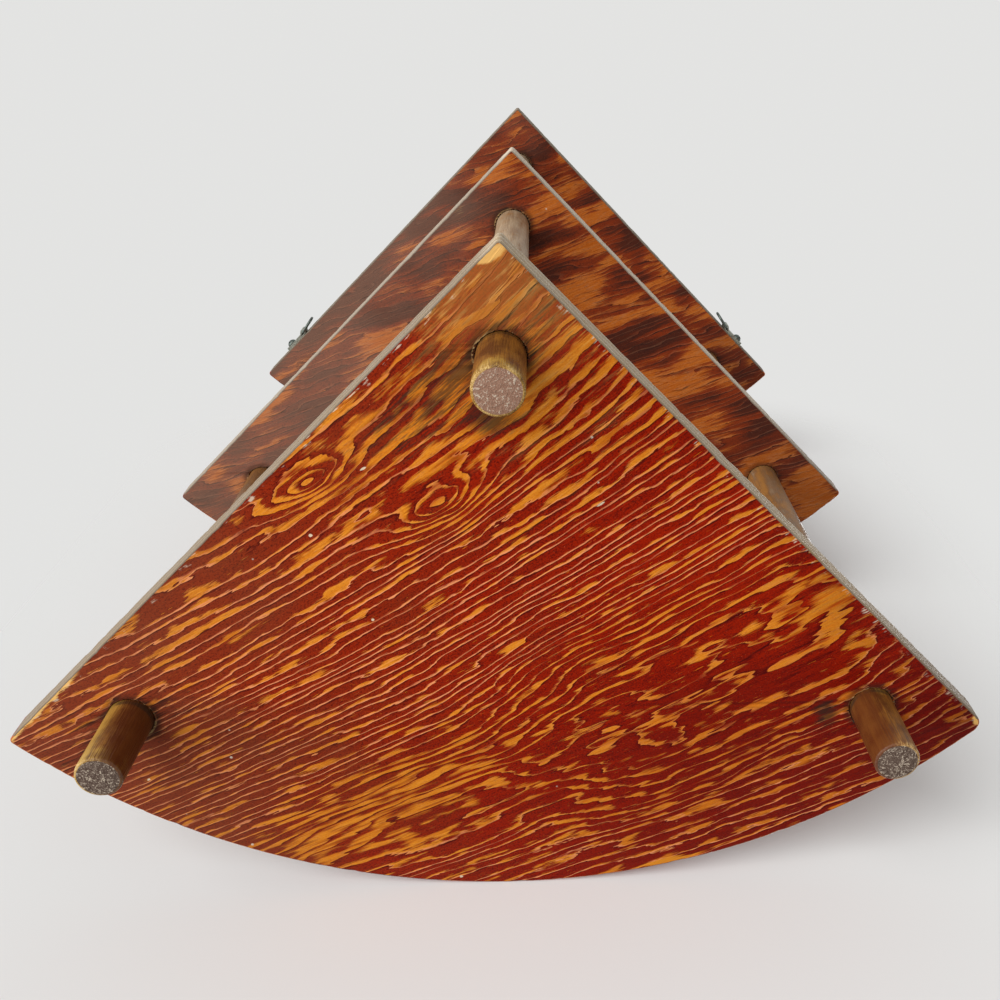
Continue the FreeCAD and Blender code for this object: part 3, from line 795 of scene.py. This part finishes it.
def dowel_side(name, centre, foot_top, seed, worn, lit_flank):
    """Straight-grained dowel: amber varnish on the foot, pale and dry above the bottom board, with painted
    light and shade on its flanks.

    Lit flank is 1 where the foot's right side takes a painted golden highlight and its left side a painted
    red shade with the boards' reflection.
    """
    colours = settings("finish")
    finish = Finish(name)
    x, y, z = finish.place()
    fibre = finish.noise(x / 0.5, y / 0.5, z / 9 + seed, 3.0)
    streak = finish.noise(x / 3.4, y / 3.4, z / 30 + seed)
    cloud = finish.noise(x / 6, y / 6, z / 7 + seed, 3.0)
    top = foot_top / MM
    amber = finish.mix(
        (fibre * 0.35 + streak * 0.5 + cloud * 0.5).between(-0.7, 0.7), colours.dark_amber, colours.amber)
    wear_and_highlight = (1 - z.between(0.5, 12.0)) * worn + z.between(top - 8, top) * (1 - worn) * 0.7
    wear_and_highlight = (wear_and_highlight + cloud * 0.45 + fibre * 0.3).between(0.35, 1.1)
    # Lean runs across the foot from its painted-shade side to its painted-lit side.
    lean = (x - centre.x / MM) * (lit_flank / 8) + fibre * 0.12 + cloud * 0.15
    dry = ((1 - z.between(0.2, 6.5)) * 0.75 + fibre * 0.5 + cloud * 0.6).between(0.6, 1.2)
    foot = finish.coat(
        amber,
        (colours.honey, wear_and_highlight * 0.8),
        # Painted shade with a painted red reflection of the boards on one flank, and a painted highlight on
        # the other flank of the right foot.
        (colours.red_shaded_flank, (1 - lean.between(-0.35, 0.25)) * abs(lit_flank) * 0.8),
        (colours.honey, lean.between(0.0, 0.7) * max(lit_flank, 0) * 0.7),
        # The dry pale end stays off the painted-shade flank.
        (colours.bare_wood, dry * (1 - (1 - lean.between(-0.3, 0.3)) * abs(lit_flank)) * 0.6),
    )
    # Amber varnish, and painted shade on the side dowels between the boards.
    varnish_and_shade = (streak * 0.3 + cloud * 0.25 + abs(lit_flank) * 0.7 + 0.25).between(0.0, 1.0)
    pale = finish.coat(
        colours.pale_dowel,
        (colours.dim_dowel, (fibre * 0.5 + streak * 0.5).between(-0.7, 0.7)),
        (amber, varnish_and_shade * 0.85),
        # Painted shade on the right dowel between the boards.
        (colours.dark_amber, max(lit_flank, 0) * 0.45),
    )
    # Painted contact shade in a ring where the foot meets the bottom board.
    root_shade = 1 - (z - top + 1.0).math("ABSOLUTE").between(0.3, 2.2)
    wood = finish.coat(
        foot,
        (pale, z.between(top + 1, top + 4)),
        (colours.dirt_and_shade, (root_shade + cloud * 0.5).between(0.5, 1.2) * 0.7),
        (colours.dark_amber, (fibre * 0.8 + cloud * 0.4).between(0.5, 1.1) * 0.45),
    )
    height = fibre * 0.5 + streak * 0.3
    return finish.lay(wood, 0.4 + cloud * 0.08, height, DOWEL_RELIEF, Specular_IOR_Level=0.3)


def dowel_end(name, centre, blush):
    """Sawn end grain, pressed full of grit."""
    colours = settings("finish")
    finish = Finish(name)
    x, y, _ = finish.place()
    x, y = x - centre.x / MM, y - centre.y / MM
    pores = finish.noise(x / 0.55, y / 0.55, centre.x * 90, 3.0, 0.65)
    chunk = finish.noise(x / 1.1, y / 1.1, centre.y * 80, 3.0, 0.7)
    patch = finish.noise(x / 4.2, y / 4.2, centre.x * 60)
    rim = ((x ** 2 + y ** 2) ** 0.5 + pores * 0.5 + chunk * 0.4).between(7.0, 7.9)
    sawn = finish.coat(
        colours.dirt_and_shade,
        (colours.sawn_end, (pores * 0.6 + chunk * 0.5).between(-0.6, 0.7)),
        (colours.blush_end, blush),
        (colours.dirt_and_shade, (pores * 0.7 - chunk * 0.3).between(0.15, 0.8) * 0.6),
        (colours.grit, (pores * 0.8 + chunk * 0.7 + patch * 0.25).between(0.1, 0.8) * 0.8),
        (colours.bare_wood, rim * (chunk + patch).between(-0.2, 0.6) * 0.45),
    )
    return finish.lay(sawn, 0.8, pores * 0.6 + chunk * 0.5, DOWEL_RELIEF, Specular_IOR_Level=0.2)


def aged_metal(name, colour, roughness):
    """Plated steel gone dull, with rust in spots."""
    colours = settings("finish")
    finish = Finish(name)
    x, y, z = finish.place()
    fine = finish.noise(x / 0.5, y / 0.5, z / 0.5, 3.0)
    patch = finish.noise(x / 2.3, y / 2.3, z / 2.3, 3.0)
    dull_and_sheen = (fine * 0.5 + patch * 0.6).between(-0.7, 0.8)
    rusty = (patch * 0.8 + fine * 0.5).between(0.35, 0.7)
    metal = finish.coat(colour, ([c * 0.55 for c in colour], dull_and_sheen), (colours.rust, rusty * 0.8))
    return finish.lay(
        metal, roughness + fine * 0.1 + rusty * 0.25, fine, METAL_RELIEF, Metallic=0.9 - rusty * 0.7)


def register_piece(piece, body, node):
    """Hangs a piece on the empty of the body that it rides on, and hides the CAD part that it stands in for.
    """
    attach(piece, body)
    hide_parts(node)


def geometry_group(name, inputs):
    """A geometry group that takes and gives a geometry, with named inputs."""
    group = bpy.data.node_groups.new(name, "GeometryNodeTree")
    group.interface.new_socket("Geometry", in_out="INPUT", socket_type="NodeSocketGeometry")
    for label, kind in inputs.items():
        group.interface.new_socket(label, in_out="INPUT", socket_type=kind)
    group.interface.new_socket("Geometry", in_out="OUTPUT", socket_type="NodeSocketGeometry")
    return group, Tree(group)


def bake_group(piece, group, values):
    """Runs a geometry group on a piece and keeps the result as its plain mesh."""
    modifier = piece.modifiers.new(group.name, "NODES")
    modifier.node_group = group
    for item in group.interface.items_tree:
        if item.in_out == "INPUT" and item.name in values:
            modifier[item.identifier] = values[item.name]
    evaluated = piece.evaluated_get(bpy.context.evaluated_depsgraph_get())
    mesh = bpy.data.meshes.new_from_object(evaluated)
    piece.modifiers.remove(modifier)
    piece.data = mesh
    mesh.set_sharp_from_angle(angle=math.radians(SHARP_DEGREES))


def rubbed_group():
    """Presses nicks and dents inwards by each point's rim, and paints the faces by their kind."""
    inputs = {"Depth": "NodeSocketFloat", "Length": "NodeSocketFloat", "Seed": "NodeSocketFloat"}
    paints = ("Edge", "Underside", "Upper Side")
    inputs.update({paint: "NodeSocketMaterial" for paint in paints})
    group, tree = geometry_group("rubbed_edges", inputs)
    given = {label: tree.node("NodeGroupInput", {}, {}, label) for label in ("Geometry", *inputs)}

    def attribute(name, data_type):
        return tree.node(
            "GeometryNodeInputNamedAttribute", {"data_type": data_type}, {"Name": name}, "Attribute")

    def scaled(vector, scale):
        return tree.node(
            "ShaderNodeVectorMath", {"operation": "SCALE"}, {"Vector": vector, "Scale": scale}, "Vector")

    spot = tree.node("GeometryNodeInputPosition", {}, {}, "Position")
    dents = tree.node(
        "ShaderNodeTexNoise", {"noise_dimensions": "4D"},
        {"Vector": scaled(spot, 1 / given["Length"]), "W": given["Seed"], "Scale": 1.0, "Detail": 3.0,
         "Roughness": 0.6}, 0)
    depth = dents.between(0.5, 0.75) * attribute("rim", "FLOAT") * given["Depth"] * -1
    push = scaled(attribute("outward", "FLOAT_VECTOR"), depth)
    shape = tree.node(
        "GeometryNodeSetPosition", {}, {"Geometry": given["Geometry"], "Offset": push}, "Geometry")
    shape = tree.node("GeometryNodeRealizeInstances", {}, {"Geometry": shape}, "Geometry")
    kind = attribute("kind", "INT")
    for paint, wanted in zip(paints, (EDGE, UNDERSIDE, UPPER_SIDE)):
        chosen = tree.node(
            "FunctionNodeCompare", {"data_type": "INT", "operation": "EQUAL"},
            {"A_INT": kind, "B_INT": wanted}, "Result")
        shape = tree.node(
            "GeometryNodeSetMaterial", {},
            {"Geometry": shape, "Selection": chosen, "Material": given[paint]}, "Geometry")
    tree.node("NodeGroupOutput", {}, {"Geometry": shape})
    return group


class Shell:
    """Gathers the points and faces of one solid, with what the rubbed group reads."""

    def __init__(self):
        self.points, self.outward, self.rim = [], [], []
        self.faces, self.kinds = [], []

    def add_loop(self, points, outward, rim):
        """Adds a ring of points and gives their numbers."""
        first = len(self.points)
        self.points += [tuple(p) for p in points]
        self.outward += [tuple(o) for o in outward]
        self.rim += list(np.broadcast_to(rim, len(points)))
        return list(range(first, first + len(points)))

    def join(self, lower, upper, kind):
        """A wall between two rings of as many points."""
        count = len(lower)
        for n in range(count):
            m = (n + 1) % count
            self.faces.append((lower[n], lower[m], upper[m], upper[n]))
            self.kinds.append(kind)

    def stack(self, rings, kind):
        """Walls between rings that follow each other."""
        for lower, upper in zip(rings, rings[1:]):
            self.join(lower, upper, kind)

    def fill(self, loops, kind, facing_up):
        """A flat face bounded by an outer ring and the rings of its holes."""
        numbers = [n for loop in loops for n in loop]
        for face in tessellate_polygon([[Vector(self.points[n]) for n in loop] for loop in loops]):
            corners = [numbers[n] for n in face]
            a, b, c = (Vector(self.points[n][:2]) for n in corners)
            counterclockwise = (b - a).cross(c - a) > 0
            self.faces.append(tuple(corners if counterclockwise == facing_up else reversed(corners)))
            self.kinds.append(kind)

    def piece(self, name):
        mesh = bpy.data.meshes.new(name)
        mesh.from_pydata(self.points, [], self.faces)
        mesh.attributes.new("rim", "FLOAT", "POINT").data.foreach_set("value", np.float32(self.rim))
        outward = mesh.attributes.new("outward", "FLOAT_VECTOR", "POINT")
        outward.data.foreach_set("vector", np.float32(self.outward).ravel())
        mesh.attributes.new("kind", "INT", "FACE").data.foreach_set("value", np.int32(self.kinds))
        mesh.shade_smooth()
        piece = bpy.data.objects.new(name, mesh)
        bpy.context.scene.collection.objects.link(piece)
        return piece


def raised(points, height):
    """Flat points or normals at a height."""
    return np.c_[points, np.full(len(points), height)]


def arc_points(centre, radius, first, last, count):
    """Points and outward normals on an arc, without its last point."""
    angles = np.linspace(first, last, count, endpoint=False)
    normals = np.stack([np.cos(angles), np.sin(angles)], 1)
    return np.asarray(centre) + radius * normals, normals


def circle_rays(count, turns):
    """Directions round a circle, counterclockwise for one turn and clockwise for minus one."""
    return arc_points((0, 0), 1.0, 0, turns * 2 * math.pi, count)[1]


def board_outline(board, tips):
    """Outline of a board, counterclockwise seen from above, with its outward normals.

    Tips are the rounds of its left and right tip.
    """
    radius, step, corner = board.radius, board.step, board.corner_round
    quarter = math.pi / 2
    reach = [math.sqrt((radius - tip) ** 2 - tip ** 2) for tip in tips]
    lean = [math.atan2(tip, end) for tip, end in zip(tips, reach)]
    walls = [np.linspace(corner, end, int((end - corner) / step), endpoint=False) for end in reach]
    zeros = [np.zeros_like(wall) for wall in walls]
    runs = [
        (np.stack([walls[0], zeros[0]], 1), np.stack([zeros[0], zeros[0] - 1], 1)),
        arc_points((reach[0], tips[0]), tips[0], -quarter, lean[0], CORNER_POINTS),
        arc_points((0, 0), radius, lean[0], quarter - lean[1], int(radius * quarter / step)),
        arc_points((tips[1], reach[1]), tips[1], quarter - lean[1], 2 * quarter, CORNER_POINTS),
        (np.stack([zeros[1], reach[1] + corner - walls[1]], 1), np.stack([zeros[1] - 1, zeros[1]], 1)),
        arc_points((corner, corner), corner, 2 * quarter, 3 * quarter, CORNER_POINTS),
    ]
    points = np.concatenate([run[0] for run in runs])
    normals = np.concatenate([run[1] for run in runs])
    turn = np.array([[-HALF_ROOT, -HALF_ROOT], [HALF_ROOT, -HALF_ROOT]])
    back_corner = np.array([0, corner_y()])
    return points @ turn + back_corner, normals @ turn


def corner_y():
    """Where the two wall edges would meet."""
    return CAD_LOW.y + settings("boards").radius


def post_centre(post):
    low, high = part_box(post)
    return (low + high) / 2


def post_radius(post):
    low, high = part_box(post)
    return (high.x - low.x) / 2


def quarter_round(size, steps):
    """Insets and heights of a rounded rim, from the face to the side."""
    angles = [math.pi / 2 * step / steps for step in range(steps + 1)]
    return [(size * (1 - math.sin(angle)), size * (1 - math.cos(angle))) for angle in angles]


def rim_profile(board, thickness):
    """Insets, heights and wear up the edge of a board: rounded arrises, and a groove at each glue line."""
    rounded = [(inset, height, RIM_WEAR) for inset, height in quarter_round(board.arris, ARRIS_STEPS)]
    rows = list(rounded)
    groove = board.ply_groove
    for ply in range(1, board.plies):
        line = thickness * ply / board.plies
        rows += [(0, line - groove, EDGE_WEAR), (groove, line, EDGE_WEAR), (0, line + groove, EDGE_WEAR)]
    return rows + [(inset, thickness - height, wear) for inset, height, wear in reversed(rounded)]


def bore_profile(board, thickness):
    """Widening and heights up a bore: torn veneer at both mouths."""
    rows = [(board.torn, 0.0), (board.torn * 0.35, BROKEN_LIP * 0.4), (0.0, BROKEN_LIP)]
    return rows + [(wide, thickness - height) for wide, height in reversed(rows)]


def add_bore(shell, board, post, base, thickness, grain, rng):
    """A bore torn back most along the grain. Gives its lower and its upper mouth."""
    centre, radius = post_centre(post), post_radius(post) + board.glue_gap
    rays = circle_rays(BORE_POINTS, -1)
    slant = np.arctan2(rays[:, 1], rays[:, 0]) - grain
    ragged = rng.uniform(0.1, 1.0, len(rays)) ** 2 * np.abs(np.cos(slant))
    rings = []
    for wide, height in bore_profile(board, thickness):
        ring = rays * (radius + wide * (0.12 + ragged))[:, None] + np.array(centre[:2])
        rings.append(shell.add_loop(raised(ring, base + height), raised(-rays, 0.0), 0.0))
    shell.stack(rings, EDGE)
    return rings[0], rings[-1]


def make_board(node, group, number):
    """One quarter-round board with worn rims and torn bores."""
    board = settings("boards")
    low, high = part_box(node)
    thickness = high.z - low.z
    shell = Shell()
    left_tip = board.worn_tip if node == "bottom_shelf" else board.tip_round
    outline, normals = board_outline(board, (left_tip, board.tip_round))
    walls = []
    for inset, height, wear in rim_profile(board, thickness):
        ring = raised(outline - normals * inset, low.z + height)
        walls.append(shell.add_loop(ring, raised(normals, 0.0), wear))
    shell.stack(walls, EDGE)
    below, above = [walls[0]], [walls[-1]]
    rng = np.random.default_rng(BORE_SEED + number)
    grain = math.radians(VENEERS[node, UNDERSIDE].grain_degrees)
    for post in POSTS:
        lower, upper = add_bore(shell, board, post, low.z, thickness, grain, rng)
        below.append(lower)
        above.append(upper)
    shell.fill(below, UNDERSIDE, facing_up=False)
    shell.fill(above, UPPER_SIDE, facing_up=True)
    piece = shell.piece(node.replace("_shelf", "_board"))
    spots = bottom_spots if node == "bottom_shelf" else plain_spots
    bake_group(piece, group, {
        "Depth": board.wear, "Length": board.nick, "Seed": float(number),
        "Edge": plywood_edge(f"{node}_edge", low.z, thickness, *EDGE_TONES[node]),
        "Underside": plywood_face(f"{node}_underside", VENEERS[node, UNDERSIDE], spots),
        "Upper Side": plywood_face(f"{node}_upper_side", VENEERS[node, UPPER_SIDE], plain_spots),
    })
    register_piece(piece, "shelf", node)


def make_dowel(node, group, number):
    """One dowel, dented and rubbed at its foot."""
    post = settings("posts")
    low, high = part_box(node)
    centre, radius, length = post_centre(node), post_radius(node), high.z - low.z
    rounded = quarter_round(post.rim_round, FOOT_STEPS)
    rows = [(radius - inset, height, RIM_WEAR) for inset, height in rounded]
    heights = np.linspace(post.rim_round, length, int(length / post.step) + 1)[1:]
    rows += [(radius, height, SIDE_WEAR) for height in heights]
    shell = Shell()
    rays = circle_rays(post.sides, 1)
    rings = []
    for wide, height, wear in rows:
        ring = raised(rays * wide + np.array(centre[:2]), low.z + height)
        rings.append(shell.add_loop(ring, raised(rays, 0.0), wear))
    shell.stack(rings, EDGE)
    shell.fill([rings[0]], UNDERSIDE, facing_up=False)
    shell.fill([rings[-1]], UPPER_SIDE, facing_up=True)
    piece = shell.piece(node.replace("_post", "_dowel"))
    foot_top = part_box("bottom_shelf")[0].z
    blush = 0.75 if node == "corner_post" else 0.1
    worn = 0.2 if node == "left_post" else 0.9
    bake_group(piece, group, {
        "Depth": post.wear, "Length": post.dent, "Seed": DENT_SEED + number,
        "Edge": dowel_side(f"{node}_side", centre, foot_top, GRAIN_STEP * number, worn, LIT_FLANKS[node]),
        "Underside": dowel_end(f"{node}_foot_end", centre, blush),
        "Upper Side": dowel_end(f"{node}_top_end", centre, 0.6),
    })
    register_piece(piece, "shelf", node)


class CORNER_SHELF_OT_boards(bpy.types.Operator):
    """Makes the three plywood boards"""

    bl_idname = "corner_shelf.boards"
    bl_label = "Make Boards"

    def execute(self, context):
        group = rubbed_group()
        for number, node in enumerate(BOARDS):
            make_board(node, group, number)
        return {"FINISHED"}


class CORNER_SHELF_OT_posts(bpy.types.Operator):
    """Makes the three dowels"""

    bl_idname = "corner_shelf.posts"
    bl_label = "Make Dowels"

    def execute(self, context):
        group = rubbed_group()
        for number, node in enumerate(POSTS):
            make_dowel(node, group, number)
        return {"FINISHED"}


class CORNER_SHELF_OT_hangers(bpy.types.Operator):
    """Finishes the straps, rings and screws"""

    bl_idname = "corner_shelf.hangers"
    bl_label = "Finish Hangers"

    def execute(self, context):
        colours = settings("finish")
        finishes = {
            "strap": aged_metal("dull_zinc", colours.zinc, 0.45),
            "ring": aged_metal("dark_ring_steel", colours.dark_steel, 0.38),
            "screw": aged_metal("dark_screw_steel", colours.dark_steel, 0.42),
        }
        for side in SIDES:
            for part, material in finishes.items():
                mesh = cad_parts[f"{side}_hanger_{part}"].data
                mesh.materials.clear()
                mesh.materials.append(material)
        return {"FINISHED"}


def one_sided(name, colour, fade):
    """A matt floor that shows from its front only and fades into the air away from the shelf."""
    finish = Finish(name)
    middle, half = (CAD_LOW + CAD_HIGH) / (2 * MM), (CAD_HIGH - CAD_LOW) / (2 * MM)
    squares = [
        ((place - centre).math("ABSOLUTE") - reach).math("MAXIMUM", 0) ** 2
        for place, centre, reach in zip(finish.place(), middle, half)
    ]
    away = (squares[0] + squares[1] + squares[2]) ** 0.5
    far = away.between(fade[0] / MM, fade[1] / MM)
    behind = finish.node("ShaderNodeNewGeometry", {}, {}, "Backfacing")
    matt = finish.node("ShaderNodeBsdfDiffuse", {}, {"Color": opaque(colour)}, "BSDF")
    clear = finish.node("ShaderNodeBsdfTransparent", {}, {}, "BSDF")
    gone = behind.math("MAXIMUM", far)
    surface = finish.node("ShaderNodeMixShader", {}, {0: gone, 1: matt, 2: clear}, "Shader")
    finish.node("ShaderNodeOutputMaterial", {}, {"Surface": surface})
    return finish.material


def make_floor(name, corners, material):
    """A large flat floor that only the camera sees, so it takes shadow and gives no light."""
    mesh = bpy.data.meshes.new(name)
    mesh.from_pydata(corners, [], [range(4)])
    mesh.materials.append(material)
    floor = bpy.data.objects.new(name, mesh)
    bpy.context.scene.collection.objects.link(floor)
    for ray in ("diffuse", "glossy", "transmission", "shadow", "volume_scatter"):
        setattr(floor, f"visible_{ray}", False)


def add_light(name, place, degrees, strength):
    """A broad soft lamp far off on the side of a place, so that it lights the whole stage evenly."""
    lamp = bpy.data.lights.new(name, "SUN")
    lamp.angle, lamp.energy = math.radians(degrees), strength
    light = bpy.data.objects.new(name, lamp)
    bpy.context.scene.collection.objects.link(light)
    light.location = place
    light.rotation_euler = (-Vector(place)).to_track_quat("-Z", "Y").to_euler()


def make_air(stage):
    """Even daylight, with a pale background for the camera and for reflections."""
    world = bpy.data.worlds.new("daylight")
    world.use_nodes = True
    bpy.context.scene.world = world
    tree = Tree(world.node_tree)
    seen = tree.node("ShaderNodeLightPath", {}, {}, "Is Camera Ray")
    for ray in ("Is Glossy Ray", "Is Transmission Ray"):
        seen = seen.math("MAXIMUM", tree.node("ShaderNodeLightPath", {}, {}, ray))
    even = tree.node("ShaderNodeBackground", {}, {"Color": (1, 1, 1, 1), "Strength": stage.daylight}, 0)
    pale = tree.node("ShaderNodeBackground", {}, {"Color": opaque(stage.air), "Strength": 1.0}, 0)
    surface = tree.node("ShaderNodeMixShader", {}, {0: seen, 1: even, 2: pale}, 0)
    tree.node("ShaderNodeOutputWorld", {}, {"Surface": surface})


def make_camera(stage):
    """The photograph's viewpoint: under the shelf, with the back corner upwards."""
    data = bpy.data.cameras.new("camera")
    data.lens = stage.lens
    data.sensor_width = SENSOR_WIDTH
    data.shift_x, data.shift_y = stage.shift
    data.clip_start, data.clip_end = 0.01, 100
    camera = bpy.data.objects.new("camera", data)
    bpy.context.scene.collection.objects.link(camera)
    place = Vector(stage.camera_place)
    forward = (Vector(stage.camera_aim) - place).normalized()
    level = forward.cross(Vector((0, 1, 0))).normalized()
    upright = level.cross(forward)
    up = upright * math.cos(stage.camera_roll) + level * math.sin(stage.camera_roll)
    right = forward.cross(up)
    camera.matrix_world = Matrix.Translation(place) @ Matrix((right, up, -forward)).transposed().to_4x4()
    bpy.context.scene.camera = camera


class CORNER_SHELF_OT_stage(bpy.types.Operator):
    """Sets the floor, the light and the camera"""

    bl_idname = "corner_shelf.stage"
    bl_label = "Set Stage"

    def execute(self, context):
        stage = settings("stage")
        material = one_sided("pale_floor", stage.floor, stage.fade)
        upright, ground = CAD_LOW.y - FLOOR_GAP, CAD_LOW.z - FLOOR_GAP
        make_floor("floor", [(a * FLOOR_REACH, upright, b * FLOOR_REACH) for a, b in SQUARE], material)
        make_floor("ground", [(b * FLOOR_REACH, a * FLOOR_REACH, ground) for a, b in SQUARE], material)
        make_air(stage)
        for name, (place, degrees, strength) in LAMPS.items():
            add_light(name, place, degrees, strength)
        make_camera(stage)
        context.scene.view_settings.view_transform = "Standard"
        return {"FINISHED"}


class CORNER_SHELF_PT_panel(bpy.types.Panel):
    """Lists the steps that dress the shelf"""

    bl_label = "Corner Shelf"
    bl_idname = "CORNER_SHELF_PT_panel"
    bl_space_type = "VIEW_3D"
    bl_region_type = "UI"
    bl_category = "Corner Shelf"

    def draw(self, context):
        for step in STEPS:
            self.layout.operator(step.bl_idname)


GROUPS = {
    "boards": BoardSettings,
    "posts": PostSettings,
    "finish": FinishSettings,
    "stage": StageSettings,
}
STEPS = (CORNER_SHELF_OT_boards, CORNER_SHELF_OT_posts, CORNER_SHELF_OT_hangers, CORNER_SHELF_OT_stage)


def register():
    for kind in (*GROUPS.values(), *STEPS, CORNER_SHELF_PT_panel):
        bpy.utils.register_class(kind)
    for name, kind in GROUPS.items():
        setattr(bpy.types.Scene, f"corner_shelf_{name}", PointerProperty(type=kind))


def unregister():
    for name in GROUPS:
        delattr(bpy.types.Scene, f"corner_shelf_{name}")
    for kind in (CORNER_SHELF_PT_panel, *reversed(STEPS), *reversed(GROUPS.values())):
        bpy.utils.unregister_class(kind)


def main():
    register()
    bpy.ops.corner_shelf.boards()
    bpy.ops.corner_shelf.posts()
    bpy.ops.corner_shelf.hangers()
    bpy.ops.corner_shelf.stage()


if __name__ == "__main__":
    main()
